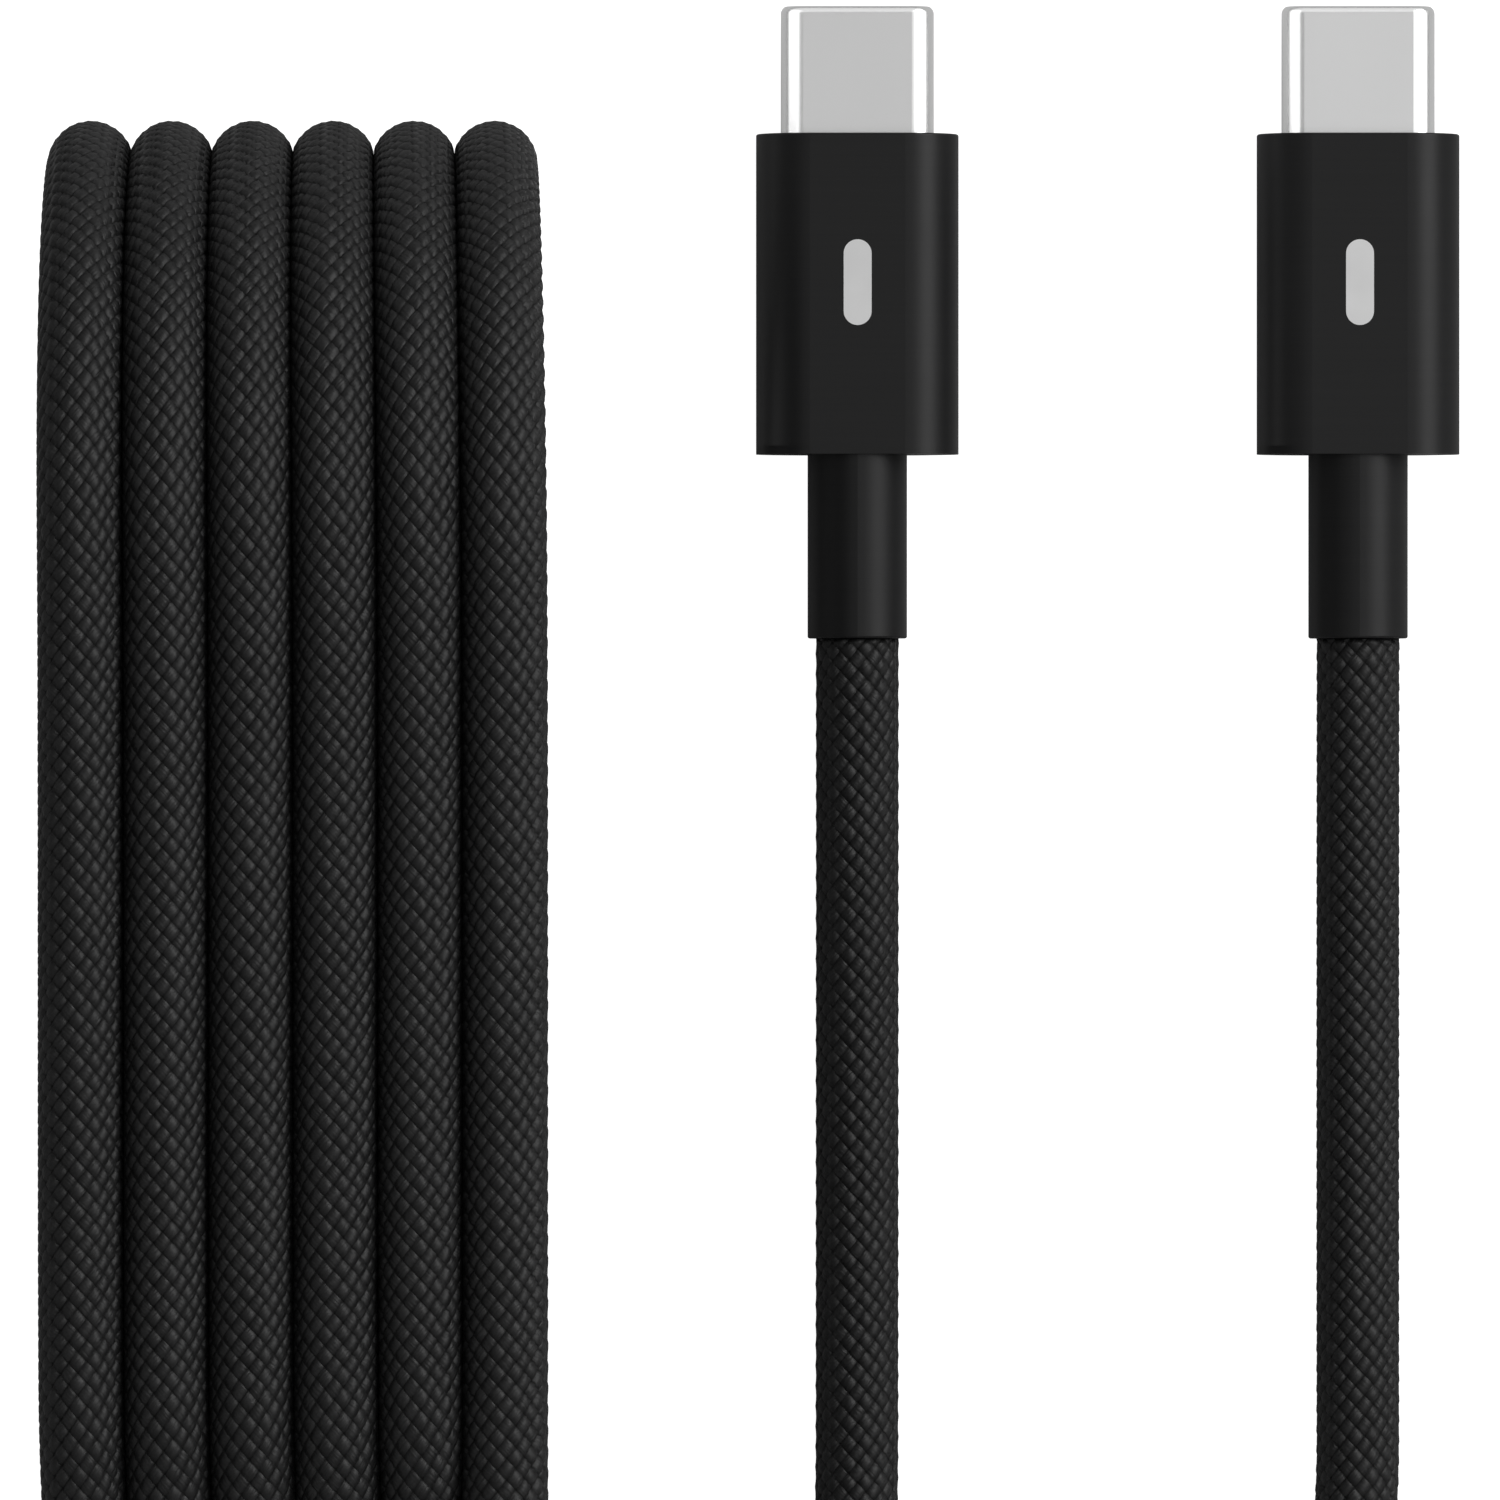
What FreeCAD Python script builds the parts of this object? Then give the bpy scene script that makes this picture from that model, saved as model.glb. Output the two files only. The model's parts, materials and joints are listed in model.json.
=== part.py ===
"""A braided charging cable with a USB-C plug on each end, lying on a surface at z = 0.

Both plugs lie side by side along Y with their mouths towards +Y. The rest of the cord
is wound into a hank of six upright turns beside them. Millimetres, +Z up, origin on
the surface, midway between the two plugs.
"""

import math
import os

import FreeCAD
import Part

V = FreeCAD.Vector

# ---- Where the two plugs lie ----
PLUG_SPACING = 26.95          # from one plug's axis to the other's
TIP_Y = 17.05                 # front of the metal shell, before its bore opens the nose
SHOULDER_Y = 10.13            # front face of the housing
HOUSING_REAR_Y = -7.10        # back face of the housing, its end cap included
RELIEF_REAR_Y = -17.0         # where the cord leaves the strain relief

# ---- Plug: outside ----
SHELL_WIDTH = 8.25            # the connector standard's plug shell
SHELL_HEIGHT = 2.40
SHELL_WALL = 0.25
SHELL_REAR_Y = 5.6
SHELL_LIP = 0.45              # round of the shell's nose
HOUSING_WIDTH = 10.91
HOUSING_HEIGHT = 5.8
HOUSING_WALL = 0.8
FRONT_WALL = 0.9
EDGE_ROUND = 0.12
CAP_PLATE = 0.45
CAP_SPIGOT = 1.2
RELIEF_DIAMETER = 5.35
RELIEF_FLOOR = 1.15           # solid end of the strain relief, before its bore
RELIEF_EDGE_ROUND = 0.12
NECK_DIAMETER = 4.1
MARK_WIDTH = 1.5
MARK_LENGTH = 4.6
MARK_THICKNESS = 0.04
MARK_Y = 2.1

# ---- Plug: inside ----
RUNNING_GAP = 0.02            # between pieces that slide together
MOUTH_WIDTH = 6.9
MOUTH_HEIGHT = 0.8
MOUTH_BOTTOM_Y = 10.4
INSULATOR_REAR_Y = 6.2
INSULATOR_FRONT_Y = 16.6
CONTACT_PITCH = 0.5
CONTACT_WIDTH = 0.22
CONTACT_THICKNESS = 0.12
CONTACT_COUNT = 12
UPPER_CONTACTS = (1, 4, 5, 6, 7, 9, 12)
LOWER_CONTACTS = (1, 4, 5, 9, 12)
CHANNEL_WIDTH = 0.30
CHANNEL_DEPTH = 0.26
CHANNEL_FRONT_Y = 16.0
CHANNEL_OVERLAP = 0.05        # by which a contact's channel opens into the mouth
# A contact's underside, tail to tip: (y, z).
CONTACT_LINE = (
    (3.2, 0.30), (5.1, 0.30), (6.0, 0.45), (13.9, 0.45), (14.8, 0.30), (15.2, 0.30), (15.8, 0.46),
)
LATCH_X = 3.5                 # inner face of each side arm
LATCH_THICKNESS = 0.15
LATCH_SLOT_GAP = 0.02         # above and below the spring's plate
LATCH_PLATE_Y = (6.4, 9.6)
LATCH_ARM_Y = (9.2, 15.6)
LATCH_ARM_HEIGHT = 0.56
LATCH_HOOK_X = 3.2
LATCH_HOOK_Y = (14.9, 15.6)
LATCH_POCKET_X = 3.05
LATCH_POCKET_Y = (9.0, 15.9)
LATCH_POCKET_HEIGHT = 0.64
LATCH_POCKET_GAP = 0.05       # between an arm and the pocket's outer wall
SPRING_WIDTH = 5.2
SPRING_Y = (11.5, 14.5)
SPRING_Z = (0.80, 0.91)
SPRING_POCKET_GAP = 0.1
FINGER_X = (-1.6, 0.0, 1.6)
FINGER_WIDTH = 0.6
FINGER_Y = (12.0, 13.7)
WINDOW_WIDTH = 1.1            # the opening round each finger
WINDOW_Y = (12.0, 14.1)
CARD_WIDTH = 7.6
CARD_THICKNESS = 0.6
CARD_Y = (-1.6, 5.9)
CARD_CORNER_R = 0.4
CAPACITOR_LENGTH = 1.0
CAPACITOR_WIDTH = 0.5
CAPACITOR_HEIGHT = 0.5
CAPACITOR_Y = 1.25
CAPACITOR_EDGE = 0.04
SHIELD_WIDTH = 8.9
SHIELD_HEIGHT = 3.7
SHIELD_WALL = 0.2
SHIELD_Y = (-2.9, 7.4)
JACKET_DIAMETER = 3.5         # under the braid
JACKET_FRONT_Y = -3.0
MOULD_Y = (-4.4, -3.1)
MOULD_GAP = 0.1               # across the mould, where it slides into the housing
CRIMP_Y = (-5.3, -4.5)
CRIMP_WALL = 0.2

# Wires: name, radius, where each leaves the jacket (x, z), and its pad's x.
# Those with z above 0 lie on top of the card, the others under it.
WIRES = (
    ("power_wire", 0.40, (-1.05, 0.75), -2.6),
    ("data_minus_wire", 0.26, (-0.10, 0.75), -0.9),
    ("data_plus_wire", 0.26, (0.60, 0.75), 0.9),
    ("sense_wire", 0.26, (1.25, 0.65), 2.6),
    ("ground_wire", 0.40, (-0.60, -0.80), -1.6),
    ("drain_wire", 0.30, (0.70, -0.80), 1.6),
)
WIRE_BENDS_Y = (-2.5, -1.0)
WIRE_END_Y = 0.3

# ---- Cord and hank ----
CORD_DIAMETER = 4.5
CORD_R = CORD_DIAMETER / 2
TURNS = 6
TURN_PITCH = 4.36             # turns side by side, the braid pressed flat between them
TURN_R = 20.5                 # bend at each end of a turn
HANK_X = -42.75               # middle of the six turns
HANK_TOP_Y = -12.62           # centre of the bends at the upper end
HANK_BOTTOM_Y = -55.5         # centre of the bends at the lower end
BACK_Z = CORD_R
FRONT_Z = CORD_R + 2 * TURN_R
MIDDLE_Z = CORD_R + TURN_R
PLUG_Z = HOUSING_HEIGHT / 2
FIRST_X = HANK_X + (TURNS - 1) / 2 * TURN_PITCH
LAST_X = FIRST_X - (TURNS - 1) * TURN_PITCH
LOWER_BEND_SHARE = 0.92       # thickness of the lower bends, which lie clear of each other

# The cord's route from each plug to the hank, chosen by hand.
ROUTE_A = (
    (-13.475, -17.0, 2.9),
    (-13.475, -45.0, 2.3),
    (-13.5, -75.5, 2.25),
    (-18.9, -88.0, 14.3),
    (-26.5, -87.8, 31.2),
    (-31.85, -74.1, 43.25),
    (-31.85, -55.5, 43.25),
)
ROUTE_B = (
    (13.475, -17.0, 2.9),
    (13.475, -45.0, 2.3),
    (13.5, -75.5, 2.25),
    (-2.0, -91.0, 2.25),
    (-36.5, -92.5, 2.25),
    (-53.3, -76.0, 2.25),
    (-53.65, -55.5, 2.25),
)
ARC_SHARE = 0.45              # of the shorter run, taken up by the arc at its end

# ---- Tie round the hank's lower end ----
TIE_HEIGHT = 8.0
TIE_THICKNESS = 1.1
TIE_GAP = 0.15
TIE_CORNER_R = 2.4
TIE_TAB_START = 4.0           # from the strap's left side
TIE_TAB_LENGTH = 9.0

TOUCH = 1e-4                  # two places closer than this are the same
HAIR = 0.01


def block(x, y, z):
    """A box from three (low, high) pairs."""
    size = [high - low for low, high in (x, y, z)]
    return Part.makeBox(*size, V(x[0], y[0], z[0]))


def about(middle, width):
    """The (low, high) pair of a width about its middle."""
    return middle - width / 2, middle + width / 2


def widened(pair, gap):
    return pair[0] - gap, pair[1] + gap


def rod(radius, y_low, y_high, x=0.0, z=0.0):
    return Part.makeCylinder(radius, y_high - y_low, V(x, y_low, z), V(0, 1, 0))


def slot_bar(width, height, y_low, y_high):
    """A bar along Y whose section is a slot shape: flat top and bottom, round sides."""
    r = height / 2
    h = width / 2 - r
    edges = [
        Part.LineSegment(V(-h, y_low, r), V(h, y_low, r)),
        Part.Arc(V(h, y_low, r), V(h + r, y_low, 0), V(h, y_low, -r)),
        Part.LineSegment(V(h, y_low, -r), V(-h, y_low, -r)),
        Part.Arc(V(-h, y_low, -r), V(-h - r, y_low, 0), V(-h, y_low, r)),
    ]
    face = Part.Face(Part.Wire([edge.toShape() for edge in edges]))
    return face.extrude(V(0, y_high - y_low, 0))


def edges_at_y(shape, y, min_reach):
    """The edges that lie in the plane y and reach at least min_reach from the axis."""
    found = []
    for edge in shape.Edges:
        box = edge.BoundBox
        flat = abs(box.YMin - y) < TOUCH and abs(box.YMax - y) < TOUCH
        reach = max(abs(box.ZMin), abs(box.ZMax))
        if flat and reach > min_reach:
            found.append(edge)
    return found


def mirrored(shape):
    """The same piece on the underside."""
    return shape.mirror(V(0, 0, 0), V(0, 0, 1))


# ---- Plug pieces, each about the plug's own axis ----

def shell():
    tube = slot_bar(SHELL_WIDTH, SHELL_HEIGHT, SHELL_REAR_Y, TIP_Y)
    tube = tube.makeFillet(SHELL_LIP, edges_at_y(tube, TIP_Y, SHELL_HEIGHT / 2 - HAIR))
    inside = slot_bar(
        SHELL_WIDTH - 2 * SHELL_WALL, SHELL_HEIGHT - 2 * SHELL_WALL, SHELL_REAR_Y, TIP_Y
    )
    return tube.cut(inside)


def contact_x(number):
    return (number - (CONTACT_COUNT + 1) / 2) * CONTACT_PITCH


def insulator():
    """The plastic core: a mouth for the socket's tongue, with a channel per contact."""
    shrink = 2 * (SHELL_WALL + RUNNING_GAP)
    body = slot_bar(
        SHELL_WIDTH - shrink, SHELL_HEIGHT - shrink, INSULATOR_REAR_Y, INSULATOR_FRONT_Y
    )
    cuts = [slot_bar(MOUTH_WIDTH, MOUTH_HEIGHT, MOUTH_BOTTOM_Y, INSULATOR_FRONT_Y)]
    for number in range(1, CONTACT_COUNT + 1):
        channel = block(
            about(contact_x(number), CHANNEL_WIDTH),
            (INSULATOR_REAR_Y, CHANNEL_FRONT_Y),
            (MOUTH_HEIGHT / 2 - CHANNEL_OVERLAP, MOUTH_HEIGHT / 2 + CHANNEL_DEPTH),
        )
        cuts += [channel, mirrored(channel)]
    recess = block(
        widened(about(0, SPRING_WIDTH), SPRING_POCKET_GAP),
        widened(SPRING_Y, SPRING_POCKET_GAP),
        (SPRING_Z[0] - HAIR, SHELL_HEIGHT / 2),
    )
    cuts += [recess, mirrored(recess)]
    slot_height = LATCH_THICKNESS + 2 * LATCH_SLOT_GAP
    arm = LATCH_X + LATCH_THICKNESS + LATCH_POCKET_GAP
    cuts.append(
        block((-arm, arm), (INSULATOR_REAR_Y, MOUTH_BOTTOM_Y), about(0, slot_height))
    )
    for side in (-1, 1):
        pocket_x = sorted((side * LATCH_POCKET_X, side * arm))
        cuts.append(block(pocket_x, LATCH_POCKET_Y, about(0, LATCH_POCKET_HEIGHT)))
    return body.cut(cuts)


def contact_strip(x):
    """One gold-plated contact of the upper row, from its tail on the card to its tip."""
    upper = [(y, z + CONTACT_THICKNESS) for y, z in reversed(CONTACT_LINE)]
    outline = [V(x - CONTACT_WIDTH / 2, y, z) for y, z in (*CONTACT_LINE, *upper)]
    face = Part.Face(Part.makePolygon([*outline, outline[0]]))
    return face.extrude(V(CONTACT_WIDTH, 0, 0))


def upper_contacts():
    return Part.makeCompound([contact_strip(contact_x(n)) for n in UPPER_CONTACTS])


def lower_contacts():
    return Part.makeCompound([mirrored(contact_strip(-contact_x(n))) for n in LOWER_CONTACTS])


def ground_spring():
    """A thin plate that grounds the socket's shell, with three fingers cut in it."""
    plate = block(about(0, SPRING_WIDTH), SPRING_Y, SPRING_Z)
    windows = []
    for middle in FINGER_X:
        window = block(about(middle, WINDOW_WIDTH), WINDOW_Y, SPRING_Z)
        finger = block(about(middle, FINGER_WIDTH), FINGER_Y, SPRING_Z)
        windows.append(window.cut(finger))
    return plate.cut(windows)


def latch_spring():
    """The stamped spring whose two side arms hook the socket's tongue."""
    outside = LATCH_X + LATCH_THICKNESS
    arm_z = about(0, LATCH_ARM_HEIGHT)
    pieces = [block((-outside, outside), LATCH_PLATE_Y, about(0, LATCH_THICKNESS))]
    for side in (-1, 1):
        arm_x = sorted((side * LATCH_X, side * outside))
        hook_x = sorted((side * LATCH_HOOK_X, side * outside))
        pieces.append(block(arm_x, LATCH_ARM_Y, arm_z))
        pieces.append(block(hook_x, LATCH_HOOK_Y, arm_z))
    return pieces[0].multiFuse(pieces[1:]).removeSplitter()


def paddle_card():
    card = block(about(0, CARD_WIDTH), CARD_Y, about(0, CARD_THICKNESS))
    upright = [e for e in card.Edges if abs(e.BoundBox.ZLength - CARD_THICKNESS) < TOUCH]
    return card.makeFillet(CARD_CORNER_R, upright)


def bypass_capacitor():
    top = -CARD_THICKNESS / 2
    chip = block(
        about(0, CAPACITOR_LENGTH),
        about(CAPACITOR_Y, CAPACITOR_WIDTH),
        (top - CAPACITOR_HEIGHT, top),
    )
    return chip.makeFillet(CAPACITOR_EDGE, chip.Edges)


def shield_can():
    """The upper half of the steel can round the card."""
    outer = slot_bar(SHIELD_WIDTH, SHIELD_HEIGHT, *SHIELD_Y)
    inner = slot_bar(
        SHIELD_WIDTH - 2 * SHIELD_WALL, SHIELD_HEIGHT - 2 * SHIELD_WALL, *SHIELD_Y
    )
    upper_half = block(
        (-SHIELD_WIDTH, SHIELD_WIDTH), SHIELD_Y, (RUNNING_GAP, SHIELD_HEIGHT)
    )
    return outer.cut(inner).common(upper_half)


def inner_mould():
    shrink = 2 * HOUSING_WALL + MOULD_GAP
    fill = slot_bar(HOUSING_WIDTH - shrink, HOUSING_HEIGHT - shrink, *MOULD_Y)
    return fill.cut(rod(JACKET_DIAMETER / 2, *MOULD_Y))


def housing():
    """The slim outer case: a sleeve with a front wall that the shell comes through."""
    open_end_y = HOUSING_REAR_Y + CAP_PLATE
    case = slot_bar(HOUSING_WIDTH, HOUSING_HEIGHT, open_end_y, SHOULDER_Y)
    rim = edges_at_y(case, SHOULDER_Y, HOUSING_HEIGHT / 2 - HAIR)
    case = case.makeFillet(EDGE_ROUND, rim)
    hollow = slot_bar(
        HOUSING_WIDTH - 2 * HOUSING_WALL,
        HOUSING_HEIGHT - 2 * HOUSING_WALL,
        open_end_y,
        SHOULDER_Y - FRONT_WALL,
    )
    doorway = slot_bar(SHELL_WIDTH, SHELL_HEIGHT, SHOULDER_Y - 2 * FRONT_WALL, SHOULDER_Y)
    return case.cut([hollow, doorway])


def rear_cap():
    plate = slot_bar(
        HOUSING_WIDTH, HOUSING_HEIGHT, HOUSING_REAR_Y, HOUSING_REAR_Y + CAP_PLATE
    )
    spigot = slot_bar(
        HOUSING_WIDTH - 2 * HOUSING_WALL,
        HOUSING_HEIGHT - 2 * HOUSING_WALL,
        HOUSING_REAR_Y + CAP_PLATE,
        HOUSING_REAR_Y + CAP_PLATE + CAP_SPIGOT,
    )
    hole = rod(NECK_DIAMETER / 2, HOUSING_REAR_Y - 1, HOUSING_REAR_Y + CAP_PLATE + CAP_SPIGOT + 1)
    return plate.fuse(spigot).removeSplitter().cut(hole)


def strain_relief():
    """A plain sleeve behind the housing, with a neck that is pressed into the end cap."""
    neck_end_y = HOUSING_REAR_Y + CAP_PLATE + CAP_SPIGOT
    sleeve = rod(RELIEF_DIAMETER / 2, RELIEF_REAR_Y, HOUSING_REAR_Y)
    rear_rim = [
        e for e in sleeve.Edges
        if abs(e.BoundBox.YMin - RELIEF_REAR_Y) < TOUCH and abs(e.BoundBox.YLength) < TOUCH
    ]
    sleeve = sleeve.makeFillet(RELIEF_EDGE_ROUND, rear_rim)
    neck = rod(NECK_DIAMETER / 2, HOUSING_REAR_Y, neck_end_y)
    bore = rod(CORD_R, RELIEF_REAR_Y, HOUSING_REAR_Y - RELIEF_FLOOR)
    through = rod(JACKET_DIAMETER / 2, RELIEF_REAR_Y, neck_end_y)
    return sleeve.fuse(neck).cut([bore, through])


def crimp_ring():
    ring = rod(JACKET_DIAMETER / 2 + CRIMP_WALL, *CRIMP_Y)
    return ring.cut(rod(JACKET_DIAMETER / 2, *CRIMP_Y))


def cord_stub():
    """The end of the cord inside the plug: braid in the relief, bare jacket beyond it."""
    braid = rod(CORD_R, RELIEF_REAR_Y, HOUSING_REAR_Y - RELIEF_FLOOR)
    jacket = rod(JACKET_DIAMETER / 2, HOUSING_REAR_Y - RELIEF_FLOOR, JACKET_FRONT_Y)
    return braid.fuse(jacket)


def orientation_mark():
    """A plain printed bar on the housing's upper face."""
    r = MARK_WIDTH / 2
    h = MARK_LENGTH / 2 - r
    top = HOUSING_HEIGHT / 2
    edges = [
        Part.LineSegment(V(r, MARK_Y - h, top), V(r, MARK_Y + h, top)),
        Part.Arc(V(r, MARK_Y + h, top), V(0, MARK_Y + h + r, top), V(-r, MARK_Y + h, top)),
        Part.LineSegment(V(-r, MARK_Y + h, top), V(-r, MARK_Y - h, top)),
        Part.Arc(V(-r, MARK_Y - h, top), V(0, MARK_Y - h - r, top), V(r, MARK_Y - h, top)),
    ]
    face = Part.Face(Part.Wire([edge.toShape() for edge in edges]))
    return face.extrude(V(0, 0, MARK_THICKNESS))


def corner_arc(before, corner, after):
    """Start, middle, end and radius of the arc that rounds one corner of a route."""
    towards = corner - before
    away = after - corner
    tangent = ARC_SHARE * min(towards.Length, away.Length)
    half_turn = towards.getAngle(away) / 2
    radius = tangent / math.tan(half_turn)
    towards.normalize()
    away.normalize()
    inward = away - towards
    inward.normalize()
    middle = corner + inward * (radius / math.cos(half_turn) - radius)
    return corner - towards * tangent, middle, corner + away * tangent, radius


def tube_along(route, tube_r):
    """A tube along straight runs joined by tangent arcs, its length, and the arcs' radii."""
    points = [V(*point) for point in route]
    edges = []
    radii = []
    here = points[0]
    for before, corner, after in zip(points, points[1:], points[2:]):
        start, middle, end, radius = corner_arc(before, corner, after)
        edges.append(Part.LineSegment(here, start).toShape())
        edges.append(Part.Arc(start, middle, end).toShape())
        radii.append(round(radius, 1))
        here = end
    edges.append(Part.LineSegment(here, points[-1]).toShape())
    path = Part.Wire(edges)
    circle = Part.makeCircle(tube_r, points[0], points[1] - points[0])
    tube = path.makePipeShell([Part.Wire([circle])], True, False)
    return tube, path.Length, radii


def wire(radius, start, pad_x):
    """One conductor, from the jacket's end to its pad on the card."""
    x, z = start
    pad_z = math.copysign(CARD_THICKNESS / 2 + radius, z)
    first_bend, second_bend = WIRE_BENDS_Y
    route = (
        (x, JACKET_FRONT_Y, z),
        (x, first_bend, z),
        (pad_x, second_bend, pad_z),
        (pad_x, WIRE_END_Y, pad_z),
    )
    return tube_along(route, radius)[0]


def plug_pieces():
    pieces = {
        "shell": shell(),
        "insulator": insulator(),
        "upper_contacts": upper_contacts(),
        "lower_contacts": lower_contacts(),
        "upper_ground_spring": ground_spring(),
        "lower_ground_spring": mirrored(ground_spring()),
        "latch_spring": latch_spring(),
        "paddle_card": paddle_card(),
        "bypass_capacitor": bypass_capacitor(),
        "upper_shield": shield_can(),
        "lower_shield": mirrored(shield_can()),
        "inner_mould": inner_mould(),
        "housing": housing(),
        "rear_cap": rear_cap(),
        "strain_relief": strain_relief(),
        "crimp_ring": crimp_ring(),
        "cord_stub": cord_stub(),
        "orientation_mark": orientation_mark(),
    }
    for name, radius, start, pad_x in WIRES:
        pieces[name] = wire(radius, start, pad_x)
    return pieces


# ---- Cord and hank ----

def cord_run(name, route):
    """A free stretch of the cord, with its figures printed."""
    tube, length, radii = tube_along(route, CORD_R)
    wanted = math.pi * CORD_R**2 * length
    print(name, "length", round(length, 1), "arc radii", radii)
    print(name, "volume", round(tube.Volume, 1), "of", round(wanted, 1), tube.isValid())
    return tube, length


def scalloped_face(y, z):
    """The outline of six cords side by side, pressed together, in the plane y."""
    half = TURN_PITCH / 2
    cusp = math.sqrt(CORD_R**2 - half**2)
    right = FIRST_X - half
    left = LAST_X + half
    arcs = [Part.Arc(V(right, y, z - cusp), V(FIRST_X + CORD_R, y, z), V(right, y, z + cusp))]
    inner = [FIRST_X - TURN_PITCH * turn for turn in range(1, TURNS - 1)]
    for x in inner:
        arcs.append(
            Part.Arc(V(x + half, y, z + cusp), V(x, y, z + CORD_R), V(x - half, y, z + cusp))
        )
    arcs.append(Part.Arc(V(left, y, z + cusp), V(LAST_X - CORD_R, y, z), V(left, y, z - cusp)))
    for x in reversed(inner):
        arcs.append(
            Part.Arc(V(x - half, y, z - cusp), V(x, y, z - CORD_R), V(x + half, y, z - cusp))
        )
    return Part.Face(Part.Wire([arc.toShape() for arc in arcs]))


def hank():
    """All six turns as one solid. Each lower bend steps over to the next turn."""
    along = V(0, HANK_TOP_Y - HANK_BOTTOM_Y, 0)
    front = scalloped_face(HANK_BOTTOM_Y, FRONT_Z).extrude(along)
    back = scalloped_face(HANK_BOTTOM_Y, BACK_Z).extrude(along)
    upper_bends = scalloped_face(HANK_TOP_Y, FRONT_Z).revolve(
        V(0, HANK_TOP_Y, MIDDLE_Z), V(1, 0, 0), -180
    )
    lower_bends = []
    step = V(-TURN_PITCH, 0, 2 * TURN_R)
    for turn in range(TURNS - 1):
        start = V(FIRST_X - turn * TURN_PITCH, HANK_BOTTOM_Y, BACK_Z)
        circle = Part.makeCircle(LOWER_BEND_SHARE * CORD_R, start, V(0, 1, 0))
        section = Part.Face(Part.Wire([circle]))
        axis = V(0, 1, 0).cross(step)
        lower_bends.append(section.revolve(start + step * 0.5, axis, -180))
    solid = front.multiFuse([back, upper_bends, *lower_bends]).removeSplitter()
    print("hank solids", len(solid.Solids), solid.isValid(), round(solid.Volume))
    return solid.Solids[0]


def hank_length():
    straight = 2 * TURNS * (HANK_TOP_Y - HANK_BOTTOM_Y)
    upper = TURNS * math.pi * TURN_R
    lower = (TURNS - 1) * math.pi * math.hypot(TURN_R, TURN_PITCH / 2)
    return straight + upper + lower


def tie():
    """A hook-and-loop strap round the lower bends, its free end folded over itself."""
    outer_y = HANK_BOTTOM_Y - TURN_R
    reach = CORD_R + TIE_GAP
    sag = TURN_R - math.sqrt(TURN_R**2 - (TIE_HEIGHT / 2) ** 2)
    lean = TIE_HEIGHT / 2 * TURN_PITCH / (2 * TURN_R)
    side = reach + lean - TURN_PITCH / 2
    x = (LAST_X - side, FIRST_X + side)
    y = (outer_y - reach, outer_y + reach + sag)
    z = (MIDDLE_Z - TIE_HEIGHT / 2, MIDDLE_Z + TIE_HEIGHT / 2)
    t = TIE_THICKNESS
    outside = block((x[0] - t, x[1] + t), (y[0] - t, y[1] + t), z)
    upright = [e for e in outside.Edges if abs(e.BoundBox.ZLength - TIE_HEIGHT) < TOUCH]
    strap = outside.makeFillet(TIE_CORNER_R, upright).cut(block(x, y, z))
    tab_x = x[0] + TIE_TAB_START
    tab = block((tab_x, tab_x + TIE_TAB_LENGTH), (y[0] - 2 * t, y[0] - t), z)
    return strap.fuse(tab).removeSplitter()


def save(name, shape):
    if not shape.isValid():
        print("not valid:", name)
    shape.exportStep(os.path.join("parts", name + ".step"))


os.makedirs("parts", exist_ok=True)

made = plug_pieces()
for suffix, plug_x in (("a", -PLUG_SPACING / 2), ("b", PLUG_SPACING / 2)):
    for piece_name, piece in made.items():
        placed = piece.copy()
        placed.translate(V(plug_x, 0, PLUG_Z))
        save(piece_name + "_" + suffix, placed)

tube_a, length_a = cord_run("cord_a", ROUTE_A)
tube_b, length_b = cord_run("cord_b", ROUTE_B)
save("cord_a", tube_a)
save("cord_b", tube_b)
save("cord_hank", hank())
save("tie", tie())
print("cord length", round(length_a + length_b + hank_length(), 1))
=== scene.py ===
import json
import math

import bpy
import numpy as np
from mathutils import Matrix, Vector

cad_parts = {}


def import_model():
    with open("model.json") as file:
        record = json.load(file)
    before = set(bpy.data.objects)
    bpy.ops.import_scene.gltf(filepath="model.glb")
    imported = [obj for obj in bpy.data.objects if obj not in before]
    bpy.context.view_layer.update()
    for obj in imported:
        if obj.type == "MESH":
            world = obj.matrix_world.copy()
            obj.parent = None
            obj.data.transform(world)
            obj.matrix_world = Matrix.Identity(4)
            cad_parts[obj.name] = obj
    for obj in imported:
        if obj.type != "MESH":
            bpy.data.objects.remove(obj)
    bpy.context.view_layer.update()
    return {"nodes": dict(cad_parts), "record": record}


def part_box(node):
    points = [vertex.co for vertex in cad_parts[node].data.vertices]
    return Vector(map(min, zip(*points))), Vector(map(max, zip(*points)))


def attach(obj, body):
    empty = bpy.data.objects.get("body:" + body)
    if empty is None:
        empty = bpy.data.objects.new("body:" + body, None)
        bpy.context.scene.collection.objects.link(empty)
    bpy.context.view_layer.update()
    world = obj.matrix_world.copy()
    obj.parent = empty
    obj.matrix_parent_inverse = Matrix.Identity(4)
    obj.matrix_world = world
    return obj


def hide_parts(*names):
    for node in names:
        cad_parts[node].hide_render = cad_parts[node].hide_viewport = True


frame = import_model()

# ---- Cord, in metres: its route from each plug to the hank is the CAD model's ----
CORD_R = 0.00225
ROUTE_A = (
    (-0.013475, -0.0170, 0.0029),
    (-0.013475, -0.0450, 0.0023),
    (-0.013500, -0.0755, 0.00225),
    (-0.018900, -0.0880, 0.0143),
    (-0.026500, -0.0878, 0.0312),
    (-0.031850, -0.0741, 0.04325),
    (-0.031850, -0.0555, 0.04325),
)
ROUTE_B = (
    (0.013475, -0.0170, 0.0029),
    (0.013475, -0.0450, 0.0023),
    (0.013500, -0.0755, 0.00225),
    (-0.002000, -0.0910, 0.00225),
    (-0.036500, -0.0925, 0.00225),
    (-0.053300, -0.0760, 0.00225),
    (-0.053650, -0.0555, 0.00225),
)
TURNS = 6
HANK_LOW, HANK_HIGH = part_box("cord_hank")
FIRST_X = HANK_HIGH.x - CORD_R
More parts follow.
